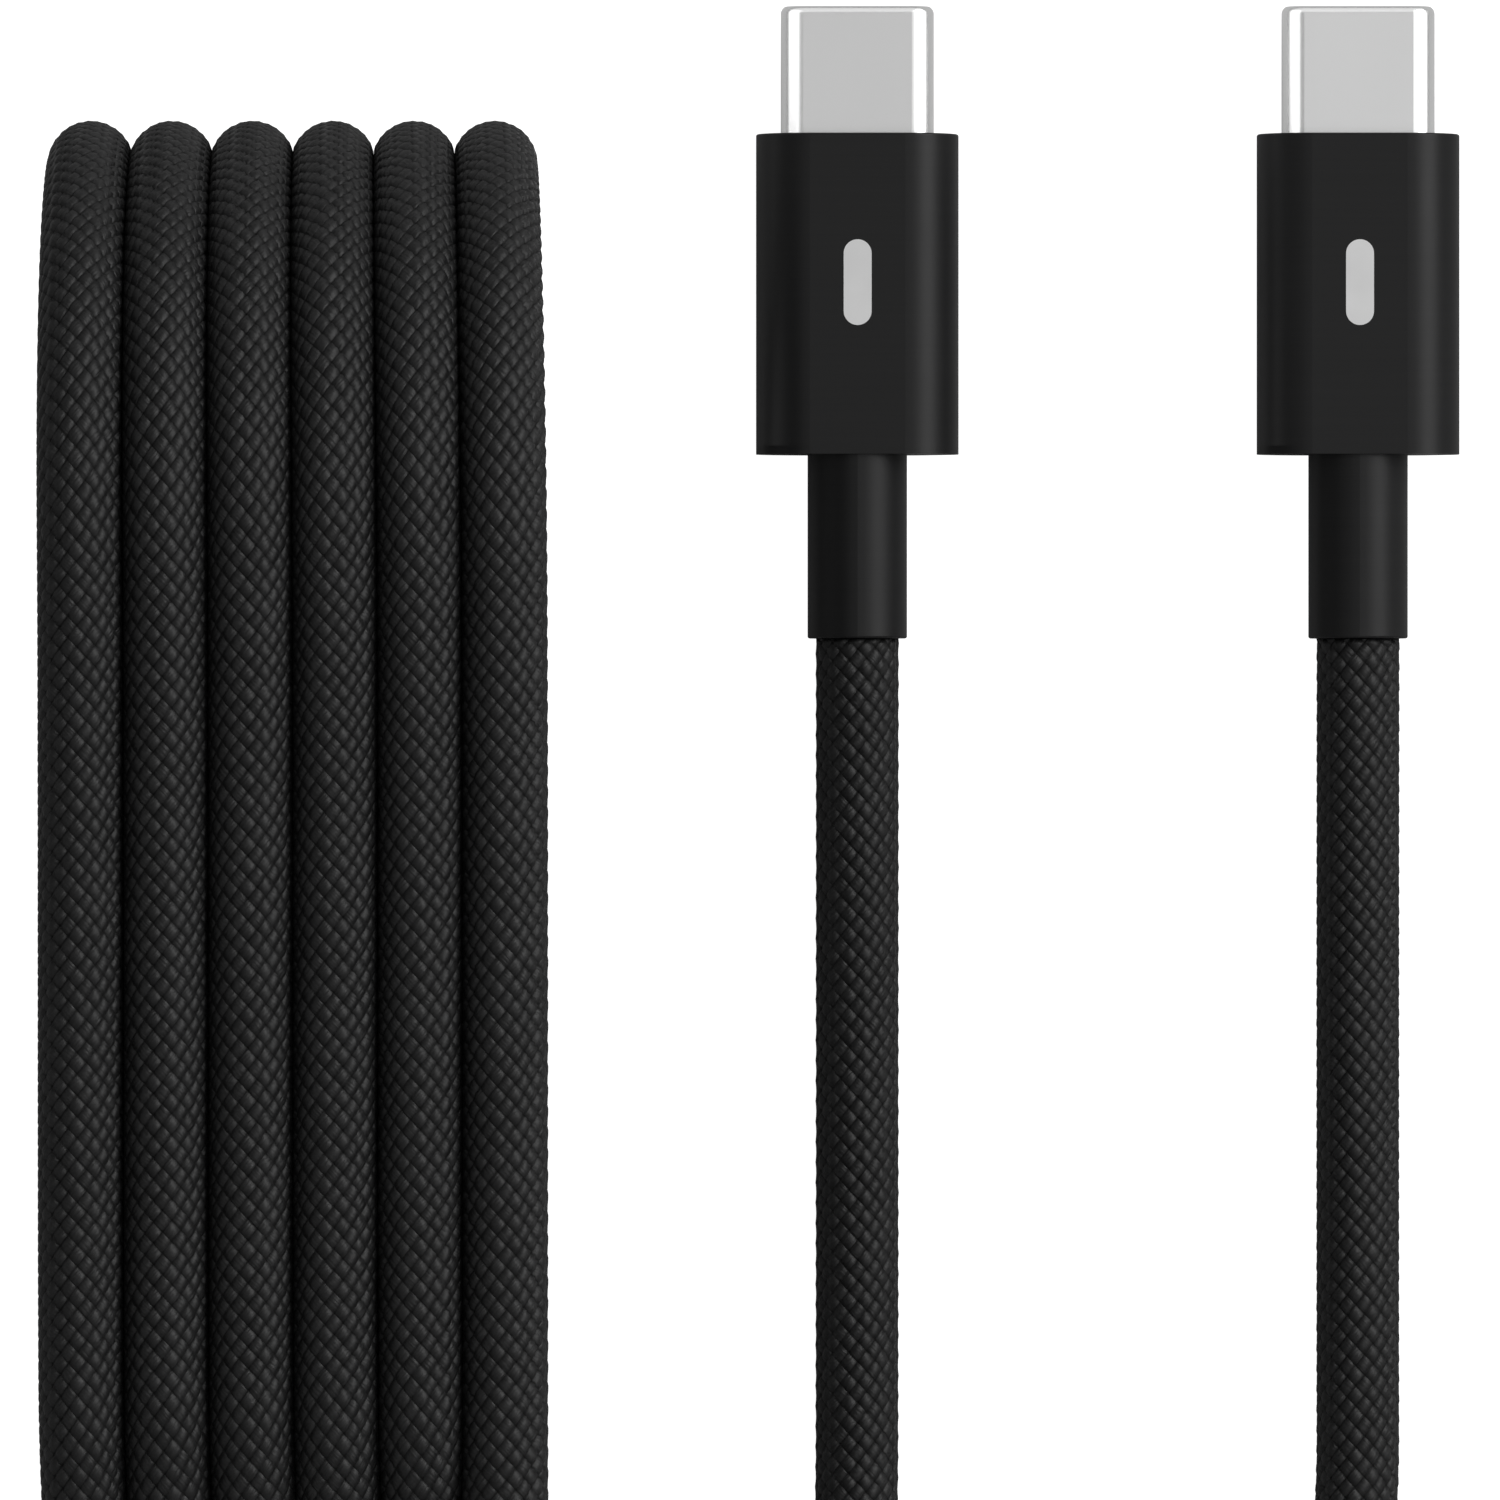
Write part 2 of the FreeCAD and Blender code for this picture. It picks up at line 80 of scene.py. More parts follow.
LAST_X = HANK_LOW.x + CORD_R
HANK_X = (FIRST_X + LAST_X) / 2
TURN_PITCH = (FIRST_X - LAST_X) / (TURNS - 1)
FRONT_Z = HANK_HIGH.z - CORD_R
BACK_Z = CORD_R
MIDDLE_Z = (FRONT_Z + BACK_Z) / 2
TURN_R = (FRONT_Z - BACK_Z) / 2
HANK_TOP_Y = HANK_HIGH.y - TURN_R - CORD_R
HANK_BOTTOM_Y = ROUTE_A[-1][1]
BEND_POINTS = 6                       # control points round each end of a turn
BEND_STEP = math.pi / BEND_POINTS
TOP_LEAN = 0.0011                     # how far a turn leans aside as it goes over to the back
BOTTOM_LEAN = 0.0003                  # what is left of that where the back runs end
BACK_SQUEEZE = 0.03                   # the turns draw together on their way to the back
NEXT_TURN_SHARE = 0.45                # of a pitch: rings further in than this aren't the outer turn's

# ---- Braid ----
YARNS = 14                            # each way round the cord
YARN_PERIOD = 0.001095                # along the cord, from one crossing to the next but one
SAMPLES = 4                           # mesh rows and columns in a period
BRAID_TWIST = 1                       # periods by which the weave is skewed in going once round
BRAID_DEPTH = 0.00023                 # from a yarn's crown to the hole between yarns
SIDE_DROP = 0.35                      # share of that at a yarn's sides, which are rounded off
SIDE_POWER = 4.0
END_DROP = 0.65                       # share of it where a yarn dives under the next one
END_POWER = 2.5


# ---- Cord ----

def squeeze(z):
    """How much closer the turns lie at this height than on the front."""
    return 1 - BACK_SQUEEZE * np.clip((FRONT_Z - z) / TURN_R, 0, 1)


def leaning(x, y, z, lean):
    """A control point of a turn, drawn in towards the others and leaned aside."""
    return (HANK_X + (x - HANK_X) * squeeze(z) + lean, y, z)


def bend(x, end_y, way, lean_at):
    """Control points round one end of a turn: way is 1 over the top, -1 round the bottom."""
    radius = TURN_R / math.cos(BEND_STEP / 2)
    points = []
    for step in range(BEND_POINTS):
        angle = (step + 0.5) * BEND_STEP
        y = end_y + way * radius * math.sin(angle)
        z = MIDDLE_Z + way * radius * math.cos(angle)
        points.append(leaning(x, y, z, lean_at(angle)))
    return points


def step_over(angle):
    """How far a lower bend has leaned aside, on its way to the next turn."""
    return -BOTTOM_LEAN - (TURN_PITCH - BOTTOM_LEAN) * (1 - math.cos(angle)) / 2


def turn_points(x, is_last):
    """One turn: up the front, over the top, down the back and round to the next one."""
    inset = TURN_R * math.tan(BEND_STEP / 2)
    low_y = HANK_BOTTOM_Y + inset
    high_y = HANK_TOP_Y - inset
    points = [(x, low_y, FRONT_Z), (x, high_y, FRONT_Z)]
    points += bend(x, HANK_TOP_Y, 1, lambda angle: -TOP_LEAN * angle / math.pi)
    points.append(leaning(x, high_y, BACK_Z, -TOP_LEAN))
    points.append(leaning(x, low_y, BACK_Z, -BOTTOM_LEAN))
    if not is_last:
        points += bend(x, HANK_BOTTOM_Y, -1, step_over)
    return points


def cord_control_points():
    points = list(ROUTE_A)
    for turn in range(TURNS):
        points += turn_points(FIRST_X - turn * TURN_PITCH, turn == TURNS - 1)
    return points + list(reversed(ROUTE_B))


def smooth_line(points):
    """The NURBS line of these control points, read as a fine polyline."""
    curve = bpy.data.curves.new("route", "CURVE")
    curve.dimensions = "3D"
    curve.resolution_u = 24
    spline = curve.splines.new("NURBS")
    spline.points.add(len(points) - 1)
    for control, place in zip(spline.points, points):
        control.co = (*place, 1)
    spline.order_u = 3
    spline.use_endpoint_u = True
    holder = bpy.data.objects.new("route", curve)
    line = bpy.data.meshes.new_from_object(holder)
    places = np.array([vertex.co for vertex in line.vertices])
    bpy.data.objects.remove(holder)
    bpy.data.curves.remove(curve)
    bpy.data.meshes.remove(line)
    return places


def evenly_spaced(line, count):
    """The line again, as count points at equal steps along it, and its length."""
    steps = np.linalg.norm(np.diff(line, axis=0), axis=1)
    along = np.concatenate([[0], np.cumsum(steps)])
    wanted = np.linspace(0, along[-1], count)
    places = np.stack([np.interp(wanted, along, line[:, k]) for k in range(3)], axis=1)
    return places, along[-1]


def line_frames(line, first_up):
    """Up and side vectors that follow a line without twisting round it."""
    tangents = np.gradient(line, axis=0)
    tangents /= np.linalg.norm(tangents, axis=1)[:, None]
    ups = np.empty_like(line)
    up = np.array(first_up, float)
    for index, tangent in enumerate(tangents):
        up = up - tangent * np.dot(up, tangent)
        up /= np.linalg.norm(up)
        ups[index] = up
    return ups, np.cross(tangents, ups)


def braid_height(u, v):
    """Height of a plain two-way braid, from 0 in its holes to 1 on the yarns' crowns.
    Each crossing shows one yarn, as a small pillow between the yarns that cover its ends."""
    a = u + v
    b = u - v
    off_a = a - np.round(a)
    off_b = b - np.round(b)
    a_on_top = (np.round(a) + np.round(b)) % 2 == 0
    across = np.abs(2 * np.where(a_on_top, off_a, off_b))
    along = np.abs(2 * np.where(a_on_top, off_b, off_a))
    return 1 - SIDE_DROP * across ** SIDE_POWER - END_DROP * along ** END_POWER


def pressed_sides(rings, centres):
    """Neighbouring turns press each other flat where they touch."""
    in_hank = np.zeros(len(centres), bool)
    start = np.argmin(np.linalg.norm(centres - np.array(ROUTE_A[-1]), axis=1))
    end = np.argmin(np.linalg.norm(centres - np.array(ROUTE_B[-1]), axis=1))
    in_hank[start:end] = True
    x = centres[:, 0]
    half = TURN_PITCH / 2 * squeeze(centres[:, 2])
    near = NEXT_TURN_SHARE * TURN_PITCH
    low = np.where(in_hank & (x > LAST_X + near), x - half, -1.0)
    high = np.where(in_hank & (x < FIRST_X - near), x + half, 1.0)
    rings[:, :, 0] = np.clip(rings[:, :, 0], low[:, None], high[:, None])


def ring_mesh(name, rings, u, v, skew):
    """A closed tube through rings of points, with (u, v - skew) at each on its UV map."""
    count, around = rings.shape[:2]
    row, column = np.meshgrid(np.arange(count - 1), np.arange(around), indexing="ij")
    after = (column + 1) % around
    corners = [
        row * around + column,
        row * around + after,
        (row + 1) * around + after,
        (row + 1) * around + column,
    ]
    faces = np.stack(corners, axis=-1).reshape(-1, 4).tolist()
    faces.append(list(range(around - 1, -1, -1)))
    faces.append(list(range((count - 1) * around, count * around)))
    mesh = bpy.data.meshes.new(name)
    mesh.from_pydata(rings.reshape(-1, 3).tolist(), [], faces)
    loop_u = np.stack([u[column], u[column + 1], u[column + 1], u[column]], axis=-1).ravel()
    loop_v = np.stack([v[row], v[row], v[row + 1], v[row + 1]], axis=-1)
    loop_skew = np.stack([skew[column], skew[column + 1], skew[column + 1], skew[column]], axis=-1)
    loop_v = (loop_v - loop_skew).ravel()
    loop_u = np.concatenate([loop_u, u[:around][::-1], u[:around]])
    loop_v = np.concatenate([loop_v, np.full(around, v[0]), np.full(around, v[-1])])
    layer = mesh.uv_layers.new(name="weave")
    layer.data.foreach_set("uv", np.stack([loop_u, loop_v], axis=1).ravel())
    mesh.shade_smooth()
    made = bpy.data.objects.new(name, mesh)
    bpy.context.scene.collection.objects.link(made)
    return made


def braided_cord():
    """The whole cord, plug to plug, as one braided tube, and the line it follows."""
    line = smooth_line(cord_control_points())
    length = evenly_spaced(line, 2)[1]
    count = SAMPLES * round(length / YARN_PERIOD) + 1
    centres = evenly_spaced(line, count)[0]
    ups, sides = line_frames(centres, (0, 0, 1))
    around = SAMPLES * YARNS
    u = np.arange(around + 1) / SAMPLES
    skew = BRAID_TWIST * u / YARNS
    v = np.arange(count) / SAMPLES
    angle = 2 * np.pi * u[:-1] / YARNS
    height = braid_height(u[None, :-1], v[:, None] - skew[None, :-1])
    radius = CORD_R - BRAID_DEPTH * (1 - height)
    outward = (
        np.cos(angle)[None, :, None] * ups[:, None, :]
        + np.sin(angle)[None, :, None] * sides[:, None, :]
    )
    rings = centres[:, None, :] + radius[:, :, None] * outward
    pressed_sides(rings, centres)
    return ring_mesh("braided_cord", rings, u, v, skew), line


# ---- Tie ----
TIE_LOW, TIE_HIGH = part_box("tie")
TIE_THICKNESS = 0.0011
TIE_TAB_END_X = TIE_LOW.x + 0.0130
TIE_CORNER_R = 0.00185
TIE_EDGE_R = 0.00035
TIE_START_INSET = 0.003               # its covered end starts this far from the left side
TIE_STEP = 0.0002                     # between the strap's rings
TIE_LAST_RUN = 0.8                    # share of the strap after which its end may narrow
TIE_END_WIDTH = 0.1                   # share of its width left at the rounded end
CORNER_POINTS = 13                    # on each rounded corner


def rounded_path(corners, radius, step):
    """A path in the XY plane through corners, each rounded by an arc, at even steps."""
    points = [np.array(corners[0], float)]
    for before, corner, after in zip(corners, corners[1:], corners[2:]):
        corner = np.array(corner, float)
        back = np.array(before, float) - corner
        ahead = np.array(after, float) - corner
        back /= np.linalg.norm(back)
        ahead /= np.linalg.norm(ahead)
        centre = corner + radius * (back + ahead)
        for share in np.linspace(0, 1, CORNER_POINTS):
            angle = share * math.pi / 2
            points.append(centre - radius * (ahead * math.cos(angle) + back * math.sin(angle)))
    points.append(np.array(corners[-1], float))
    line = np.array([[x, y, 0] for x, y in points])
    length = evenly_spaced(line, 2)[1]
    return evenly_spaced(line, round(length / step))[0]


def strap_section(half_width, half_thickness, edge_r, per_edge=5, per_face=16):
    """The outline of a flat strap's section with round edges: (across, out) pairs."""
    outline = []
    corners = ((1, 1, 0), (-1, 1, 90), (-1, -1, 180), (1, -1, 270))
    for sign_w, sign_t, first in corners:
        for step in range(per_edge):
            angle = math.radians(first + 90 * step / (per_edge - 1))
            outline.append((
                sign_w * (half_width - edge_r) + edge_r * math.cos(angle),
                sign_t * (half_thickness - edge_r) + edge_r * math.sin(angle),
            ))
        if sign_w == sign_t:
            side = np.linspace(1, -1, per_face + 2)[1:-1] * sign_w * (half_width - edge_r)
            outline += [(across, sign_t * half_thickness) for across in side]
    return np.array(outline)


def strap_tie():
    """A woven hook-and-loop strap, once round the lower bends and over its own end."""
    t = TIE_THICKNESS
    x0 = TIE_LOW.x + t / 2
    x1 = TIE_HIGH.x - t / 2
    y_outer = TIE_LOW.y + t / 2
    y0 = y_outer + t
    y1 = TIE_HIGH.y - t / 2
    corners = [(x0 + TIE_START_INSET, y0), (x1, y0), (x1, y1), (x0, y1), (x0, y_outer),
               (TIE_TAB_END_X, y_outer)]
    line = rounded_path(corners, TIE_CORNER_R, TIE_STEP)
    middle_z = (TIE_LOW.z + TIE_HIGH.z) / 2
    half_width = (TIE_HIGH.z - TIE_LOW.z) / 2
    tangents = np.gradient(line, axis=0)
    tangents /= np.linalg.norm(tangents, axis=1)[:, None]
    outward = np.cross(tangents, (0, 0, 1))
    section = strap_section(half_width, t / 2, TIE_EDGE_R)
    to_end = np.linalg.norm(line - line[-1], axis=1)
    reach = np.clip(to_end / half_width, 0, 1)
    last_run = np.arange(len(line)) > len(line) * TIE_LAST_RUN
    rounding = np.sqrt(1 - (1 - reach) ** 2)
    taper = np.where(last_run, rounding * (1 - TIE_END_WIDTH) + TIE_END_WIDTH, 1.0)
    across = section[:, 0][None, :] * taper[:, None]
    rings = line[:, None, :] + outward[:, None, :] * section[:, 1][None, :, None]
    rings[:, :, 2] = middle_z + across
    u = np.linspace(0, 1, len(section) + 1)
    v = np.linspace(0, 1, len(line))
    return ring_mesh("strap_tie", rings, u, v, np.zeros(len(u)))


# ---- Materials: noise scales count cells in a metre along X, Y and Z ----
BLACK = (0.0085, 0.0085, 0.0088)
FILAMENTS = 7.0                       # across a yarn
FILAMENT_STRETCH = 0.8                # noise cells for a yarn's width, along it
FILAMENT_CONTRAST = (0.35, 1.65)
FUZZ = (8000.0, 8000.0, 8000.0)
FUZZ_CONTRAST = (0.1, 1.9)
YARN_DARK = (0.0064, 0.0064, 0.0066)
YARN_LIGHT = (0.0122, 0.0122, 0.0125)
# painted shade: near-black colour laid into the creases between the yarns, where shadow falls
PAINTED_CREASE_SHADE = (0.0010, 0.0010, 0.0010)
PAINTED_SHADE_TOP = 0.22                     # height up to which the weave's colour is all painted crease shade
PAINTED_SHADE_END = 0.62                      # height from which it is all yarn colour, with no painted shade
YARN_ROUGHNESS = (0.44, 0.62)
CREASE_ROUGHNESS = 0.3                # added in the creases
WEAVE_BUMP = 0.00019
FILAMENT_BUMP = 0.000045
GIRTH_LINES = (90.0, 9000.0, 90.0)
LINE_DARK = (0.0065, 0.0065, 0.0068)
LINE_LIGHT = (0.0105, 0.0105, 0.0108)
LINE_BUMP = 0.000005
STRAP_RIBS = (6000.0, 6000.0, 2500.0)
STRAP_DARK = (0.006, 0.006, 0.006)
STRAP_LIGHT = (0.024, 0.024, 0.025)
STRAP_BUMP = 0.00012


class Look:
    """A Principled material, with short ways to add nodes to it."""

    def __init__(self, name, colour, roughness, metallic=0.0, specular=0.5):
        self.material = bpy.data.materials.new(name)
        self.material.use_nodes = True
        self.tree = self.material.node_tree
        self.shader = self.tree.nodes["Principled BSDF"]
        self.shader.inputs["Base Color"].default_value = (*colour, 1)
        self.shader.inputs["Roughness"].default_value = roughness
        self.shader.inputs["Metallic"].default_value = metallic
        self.shader.inputs["Specular IOR Level"].default_value = specular

    def add(self, kind, **settings):
        node = self.tree.nodes.new("ShaderNode" + kind)
        for key, value in settings.items():
            setattr(node, key, value)
        return node

    def feed(self, socket, value):
        if isinstance(value, bpy.types.NodeSocket):
            self.tree.links.new(value, socket)
        else:
            socket.default_value = value

    def math(self, operation, *values):
        node = self.add("Math", operation=operation)
        for socket, value in zip(node.inputs, values):
            self.feed(socket, value)
        return node.outputs[0]

    def vector(self, x, y, z=0.0):
        node = self.add("CombineXYZ")
        for socket, value in zip(node.inputs, (x, y, z)):
            self.feed(socket, value)
        return node.outputs[0]

    def place(self, scale):
        """Places on the object, in metres, times a scale for each axis."""
        node = self.add("VectorMath", operation="MULTIPLY")
        self.feed(node.inputs[0], self.add("TexCoord").outputs["Object"])
        node.inputs[1].default_value = scale
        return node.outputs[0]

    def noise(self, vector, scale=1.0, detail=2.0):
        node = self.add("TexNoise")
        self.feed(node.inputs["Vector"], vector)
        node.inputs["Scale"].default_value = scale
        node.inputs["Detail"].default_value = detail
        return node.outputs["Fac"]

    def between(self, factor, low, high):
        """A number that goes from low to high as factor goes from 0 to 1."""
        node = self.add("MapRange")
        self.feed(node.inputs["Value"], factor)
        node.inputs["To Min"].default_value = low
        node.inputs["To Max"].default_value = high
        return node.outputs[0]

    def mix(self, factor, low, high):
        """A colour that goes from low to high as factor goes from 0 to 1."""
        node = self.add("Mix", data_type="RGBA")
        self.feed(node.inputs[0], factor)
        self.feed(node.inputs[6], low if isinstance(low, bpy.types.NodeSocket) else (*low, 1))
        self.feed(node.inputs[7], high if isinstance(high, bpy.types.NodeSocket) else (*high, 1))
        return node.outputs[2]

    def bump(self, height, distance, strength=1.0, under=None):
        node = self.add("Bump")
        self.feed(node.inputs["Height"], height)
        node.inputs["Distance"].default_value = distance
        node.inputs["Strength"].default_value = strength
        if under is not None:
            self.feed(node.inputs["Normal"], under)
        self.feed(self.shader.inputs["Normal"], node.outputs[0])
        return node.outputs[0]

    def colour(self, value):
        self.feed(self.shader.inputs["Base Color"], value)

    def roughness(self, value):
        self.feed(self.shader.inputs["Roughness"], value)


def braid_look():
    """Black nylon yarns with painted shade in the creases between them: the weave is worked out from
    the cord's UV map.
    """
    look = Look("braid", BLACK, 0.5, specular=0.44)
    uv = look.add("SeparateXYZ")
    look.feed(uv.inputs[0], look.add("UVMap", uv_map="weave").outputs[0])
    a = look.math("ADD", uv.outputs[0], uv.outputs[1])
    b = look.math("SUBTRACT", uv.outputs[0], uv.outputs[1])
    yarn_a = look.math("ROUND", a)
    yarn_b = look.math("ROUND", b)
    b_on_top = look.math("FLOORED_MODULO", look.math("ADD", yarn_a, yarn_b), 2.0)
    a_on_top = look.math("SUBTRACT", 1.0, b_on_top)

    def top_of(if_a, if_b):
        shown_a = look.math("MULTIPLY", if_a, a_on_top)
        return look.math("ADD", shown_a, look.math("MULTIPLY", if_b, b_on_top))

    def fall(value, power, drop):
        share = look.math("ABSOLUTE", look.math("MULTIPLY", value, 2.0))
        return look.math("MULTIPLY", look.math("POWER", share, power), drop)

    off_a = look.math("SUBTRACT", a, yarn_a)
    off_b = look.math("SUBTRACT", b, yarn_b)
    across = top_of(off_a, off_b)
    along = top_of(off_b, off_a)
    height = look.math("SUBTRACT", 1.0, fall(across, SIDE_POWER, SIDE_DROP))
    height = look.math("SUBTRACT", height, fall(along, END_POWER, END_DROP))
    filaments = look.noise(
        look.vector(
            look.math("MULTIPLY", top_of(a, b), FILAMENTS),
            look.math("MULTIPLY", top_of(b, a), FILAMENT_STRETCH),
            a_on_top,
        ),
        detail=1.0,
    )
    shades = look.add("TexWhiteNoise", noise_dimensions="3D")
    look.feed(shades.inputs["Vector"], look.vector(yarn_a, yarn_b, a_on_top))
    shade = look.mix(shades.outputs["Value"], YARN_DARK, YARN_LIGHT)
    fuzz = look.noise(look.place(FUZZ), detail=1.0)
    filament_shade = look.between(filaments, *FILAMENT_CONTRAST)
    fibre = look.math("MULTIPLY", filament_shade, look.between(fuzz, *FUZZ_CONTRAST))
    # painted shade: the colour darkens to near black where the weave's height falls into its creases
    lit = look.add("MapRange", interpolation_type="SMOOTHSTEP")
    look.feed(lit.inputs["Value"], height)
    lit.inputs["From Min"].default_value = PAINTED_SHADE_TOP
    lit.inputs["From Max"].default_value = PAINTED_SHADE_END
    lit = lit.outputs[0]
    with_painted_shade = look.mix(lit, PAINTED_CREASE_SHADE, shade)
    tinted = look.add("VectorMath", operation="SCALE")
    look.feed(tinted.inputs[0], with_painted_shade)
    look.feed(tinted.inputs["Scale"], fibre)
    look.colour(tinted.outputs[0])
    in_crease = look.math("ADD", look.between(filaments, *YARN_ROUGHNESS), CREASE_ROUGHNESS)
    less_on_yarns = look.math("MULTIPLY", lit, CREASE_ROUGHNESS)
    look.roughness(look.math("SUBTRACT", in_crease, less_on_yarns))
    weave = look.bump(height, WEAVE_BUMP)
    look.bump(filaments, FILAMENT_BUMP, 0.9, under=weave)
    return look.material


def anodised_look(name, roughness):
    """Black anodised metal with very fine lines round its girth."""
    look = Look(name, BLACK, roughness, specular=0.30)
    lines = look.noise(look.place(GIRTH_LINES), detail=3.0)
    clouds = look.noise(look.place((260.0, 260.0, 260.0)))
    look.colour(look.mix(lines, LINE_DARK, LINE_LIGHT))
    look.roughness(look.between(clouds, roughness - 0.03, roughness + 0.03))
    look.bump(lines, LINE_BUMP, 0.6)
    return look.material


def metal_look(name, colour, roughness):
    """Drawn or stamped metal, a touch duller and darker in drifting patches."""
    look = Look(name, colour, roughness, metallic=1.0)
    clouds = look.noise(look.place((90.0, 60.0, 90.0)))
    darker = tuple(0.94 * part for part in colour)
    look.colour(look.mix(clouds, darker, colour))
    look.roughness(look.between(clouds, roughness * 0.96, roughness * 1.04))
    return look.material


def plastic_look(name, colour, roughness, grain=0.000004):
    """Moulded or extruded plastic: an even colour with a fine eggshell grain."""
    look = Look(name, colour, roughness)
    fine = look.noise(look.place((7000.0, 7000.0, 7000.0)))
    clouds = look.noise(look.place((400.0, 400.0, 400.0)))
    darker = tuple(0.85 * part for part in colour)
    look.colour(look.mix(clouds, darker, colour))
    look.roughness(look.between(clouds, roughness - 0.04, roughness + 0.04))
    look.bump(fine, grain, 0.4)
    return look.material


def strap_look():
    """Dull black hook-and-loop fabric with fine ribs."""
    look = Look("strap", (0.02, 0.02, 0.02), 0.85, specular=0.2)
    ribs = look.noise(look.place(STRAP_RIBS), detail=4.0)
    look.colour(look.mix(ribs, STRAP_DARK, STRAP_LIGHT))
    look.bump(ribs, STRAP_BUMP, 0.9)
    return look.material


LOOKS = {
    "plated_steel": metal_look("plated_steel", (0.66, 0.66, 0.66), 0.27),
    "black_plastic": plastic_look("black_plastic", (0.012, 0.012, 0.013), 0.45),
    "gold_contact": metal_look("gold_contact", (0.86, 0.66, 0.30), 0.22),
    "spring_steel": metal_look("spring_steel", (0.55, 0.56, 0.58), 0.28),
    "circuit_board": plastic_look("circuit_board", (0.02, 0.10, 0.05), 0.35),
    "ceramic": plastic_look("ceramic", (0.52, 0.40, 0.28), 0.5),
    "tinned_steel": metal_look("tinned_steel", (0.60, 0.60, 0.60), 0.35),
    "white_plastic": plastic_look("white_plastic", (0.70, 0.70, 0.67), 0.55),
    "black_housing": anodised_look("black_housing", 0.42),
    "black_relief": anodised_look("black_relief", 0.45),
    "grey_print": plastic_look("grey_print", (0.90, 0.90, 0.90), 0.6),
    "cord_jacket": plastic_look("cord_jacket", (0.012, 0.012, 0.012), 0.6),
    "red_insulation": plastic_look("red_insulation", (0.60, 0.03, 0.03), 0.4),
    "white_insulation": plastic_look("white_insulation", (0.75, 0.75, 0.75), 0.4),
    "green_insulation": plastic_look("green_insulation", (0.03, 0.35, 0.08), 0.4),
    "blue_insulation": plastic_look("blue_insulation", (0.03, 0.10, 0.50), 0.4),
    "black_insulation": plastic_look("black_insulation", (0.02, 0.02, 0.02), 0.4),
    "bare_copper": metal_look("bare_copper", (0.80, 0.56, 0.42), 0.3),
    "cord_braid": braid_look(),
    "tie_fabric": strap_look(),
}


def dress_cad_nodes():
    for subpart in frame["record"]["subparts"]:
        for slot in frame["nodes"][subpart["node"]].material_slots:
            slot.material = LOOKS[subpart["material_slot"]]


# ---- Stage, lights and camera ----
VIEW_X = -0.01925
VIEW_Y = -0.0230
PLUG_Z = 0.0029
CAMERA_Z = 0.9029
SENSOR_MM = 36.0
SEEN_WIDTH = 0.08073                  # width of the picture at the plugs' height
FLOOR_HALF = 4.0
FLOOR_Z = -0.00002                    # just under the surface that the cable lies on
FLOOR_GREY = (0.50, 0.50, 0.50)
SURROUND_LIGHT = 0.26                 # what the white surroundings give the object
SURROUND_SEEN = 1.0                   # what the camera sees of them


def floor():
    """A grey surface that the camera alone sees as pure white."""
    mesh = bpy.data.meshes.new("floor")
    signs = ((-1, -1), (1, -1), (1, 1), (-1, 1))
    corners = [(x * FLOOR_HALF, y * FLOOR_HALF, FLOOR_Z) for x, y in signs]
    mesh.from_pydata(corners, [], [(0, 1, 2, 3)])
    made = bpy.data.objects.new("floor", mesh)
    bpy.context.scene.collection.objects.link(made)
    look = Look("floor", FLOOR_GREY, 0.9, specular=0.1)
    look.shader.inputs["Emission Color"].default_value = (1, 1, 1, 1)
    seen = look.add("LightPath").outputs["Is Camera Ray"]
    look.feed(look.shader.inputs["Emission Strength"], seen)
    made.data.materials.append(look.material)


def panel(name, width, length, radiance, only_on):
    """A flat light that the camera can't see. With only_on, it is a reflector card that
    lights those pieces alone and casts no shadows."""
    light = bpy.data.lights.new(name, "AREA")
    light.shape = "RECTANGLE"
    light.size = width
    light.size_y = length
    light.energy = radiance * math.pi * width * length
    made = bpy.data.objects.new(name, light)
    made.visible_camera = False
    bpy.context.scene.collection.objects.link(made)
    if only_on:
        light.use_shadow = False
        lit = bpy.data.collections.new(name + "_lit")
        for piece in only_on:
            lit.objects.link(piece)
        made.light_linking.receiver_collection = lit
    return made


def soft_light(name, azimuth, tilt, distance, width, length, radiance, ahead=0.0, only_on=()):
    """A panel above the object, tilted from overhead towards an azimuth (0 is +X, 90 is +Y)
    and then moved ahead along Y: width runs down the tilt, length across it."""
    lean = math.sin(math.radians(tilt))
    towards = Vector((
        lean * math.cos(math.radians(azimuth)),
        lean * math.sin(math.radians(azimuth)),
        math.cos(math.radians(tilt)),
    ))
    made = panel(name, width, length, radiance, only_on)
    made.location = Vector((VIEW_X, VIEW_Y + ahead, PLUG_Z)) + distance * towards
    made.rotation_euler = (0, math.radians(tilt), math.radians(azimuth))


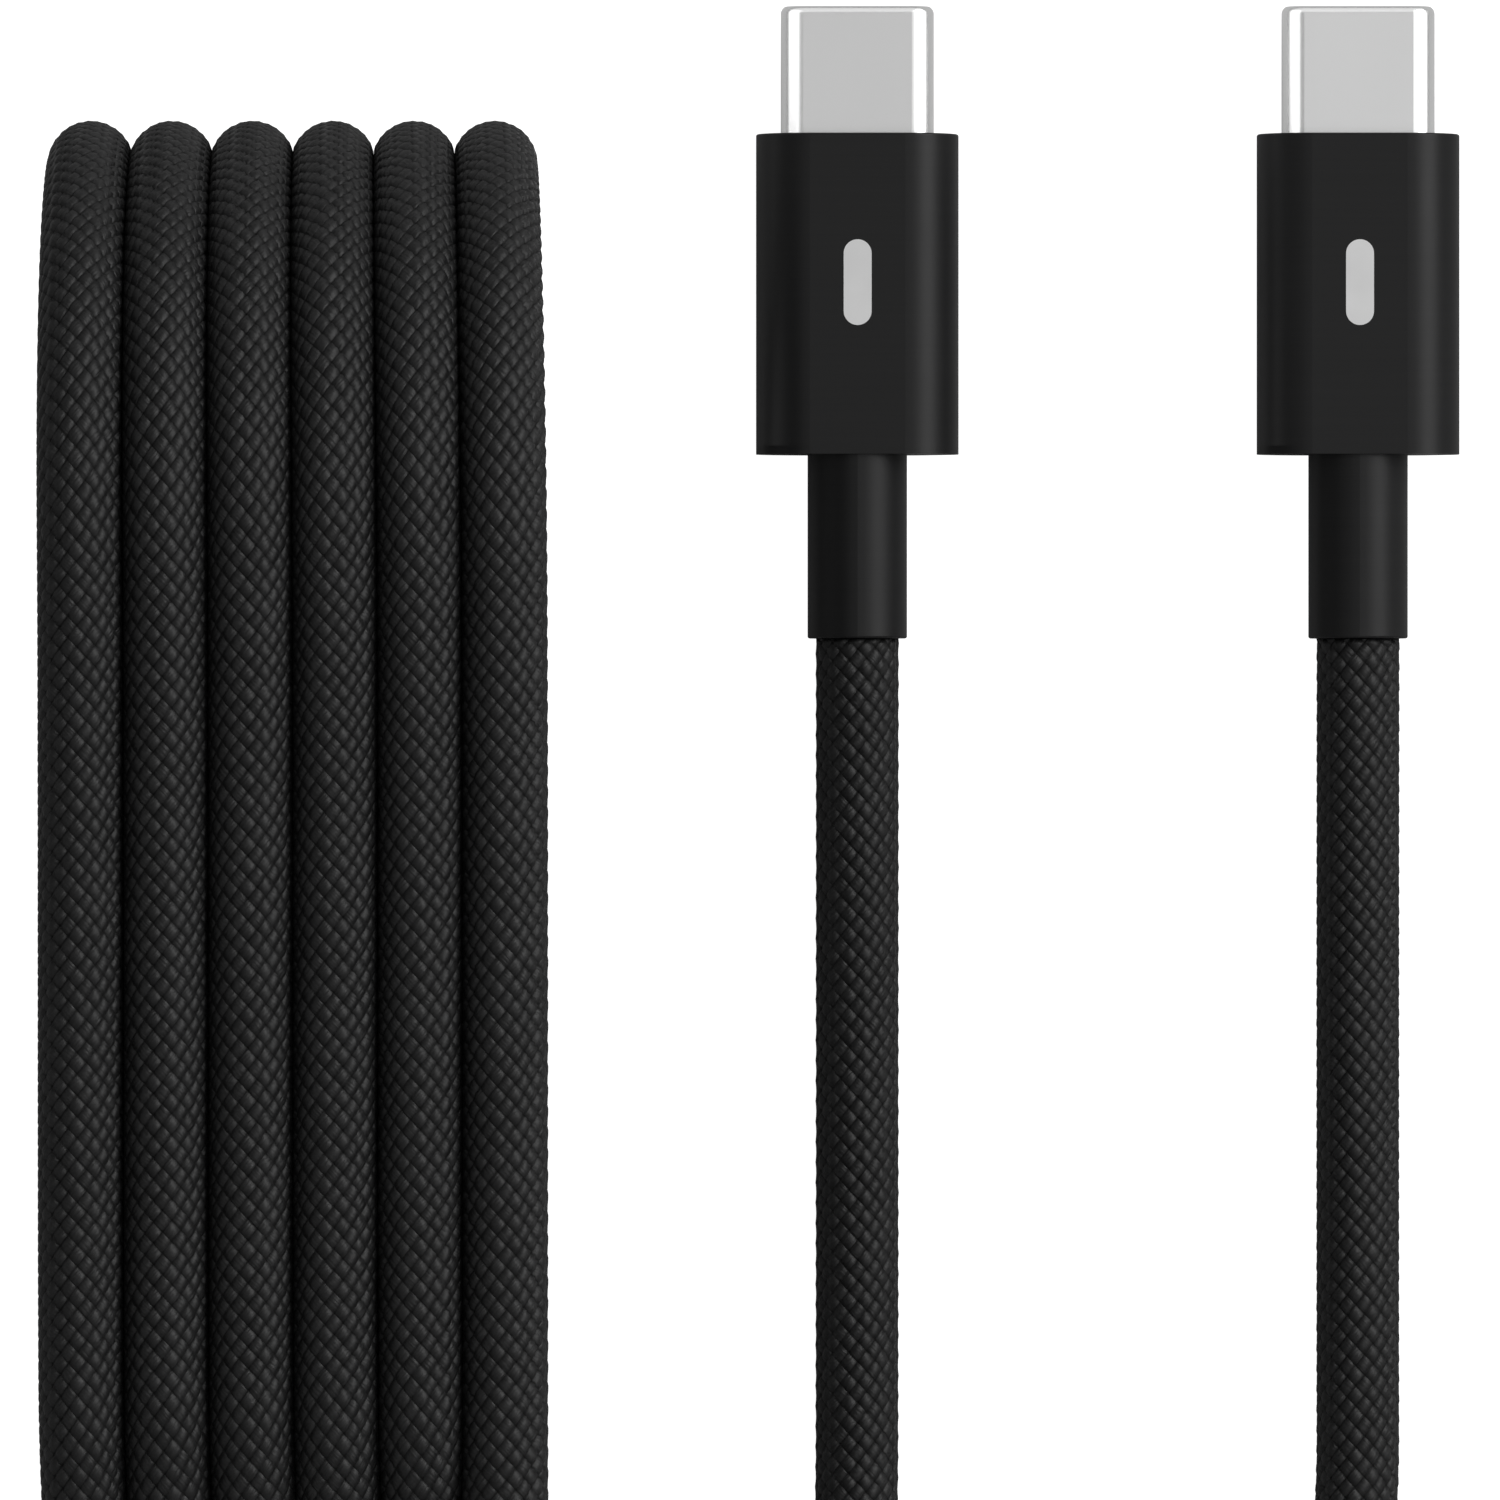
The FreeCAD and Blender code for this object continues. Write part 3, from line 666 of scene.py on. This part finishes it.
def world():
    """White surroundings: dim as a light, full white to the camera."""
    made = bpy.data.worlds.new("studio")
    made.use_nodes = True
    nodes = made.node_tree.nodes
    strength = nodes.new("ShaderNodeMapRange")
    strength.inputs["To Min"].default_value = SURROUND_LIGHT
    strength.inputs["To Max"].default_value = SURROUND_SEEN
    seen = nodes.new("ShaderNodeLightPath").outputs["Is Camera Ray"]
    made.node_tree.links.new(seen, strength.inputs["Value"])
    nodes["Background"].inputs["Color"].default_value = (1, 1, 1, 1)
    made.node_tree.links.new(strength.outputs[0], nodes["Background"].inputs["Strength"])
    bpy.context.scene.world = made


def lights():
    """Two soft lights for everything, and cards for what the plugs' metal reflects."""
    shells = [frame["nodes"]["shell_a"], frame["nodes"]["shell_b"]]
    housings = [frame["nodes"]["housing_a"], frame["nodes"]["housing_b"]]
    soft_light("overhead", azimuth=0, tilt=12, distance=1.3, width=0.75, length=0.8, radiance=0.53)
    soft_light("key", azimuth=0, tilt=50, distance=0.8, width=0.45, length=1.1, radiance=4.1,
               ahead=0.55)
    shell_card = {"distance": 0.5, "width": 0.6, "length": 1.0, "only_on": shells}
    soft_light("left_card", azimuth=180, tilt=49, radiance=1.8, **shell_card)
    soft_light("right_card", azimuth=0, tilt=49, radiance=1.8, **shell_card)
    soft_light("front_card", azimuth=90, tilt=55, radiance=0.8, **shell_card)
    floor_card = panel("floor_card", width=0.12, length=0.06, radiance=0.35, only_on=shells)
    floor_card.location = (0, 0.012, 0.00005)
    floor_card.rotation_euler = (math.pi, 0, 0)
    soft_light("low_card", azimuth=180, tilt=82, distance=0.5, width=0.3, length=1.0,
               radiance=0.6, only_on=housings)


def camera():
    data = bpy.data.cameras.new("camera")
    data.sensor_width = SENSOR_MM
    data.lens = SENSOR_MM * (CAMERA_Z - PLUG_Z) / SEEN_WIDTH
    data.clip_start = 0.01
    data.clip_end = 20.0
    made = bpy.data.objects.new("camera", data)
    made.location = (VIEW_X, VIEW_Y, CAMERA_Z)
    bpy.context.scene.collection.objects.link(made)
    bpy.context.scene.camera = made


# ---- Making ----
camera()
cord, cord_line = braided_cord()
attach(cord, "root")
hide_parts("cord_a", "cord_b", "cord_hank")
cord.data.materials.append(LOOKS["cord_braid"])

strap = strap_tie()
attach(strap, "root")
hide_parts("tie")
strap.data.materials.append(LOOKS["tie_fabric"])

dress_cad_nodes()
floor()
world()
lights()
bpy.context.scene.view_settings.view_transform = "Standard"
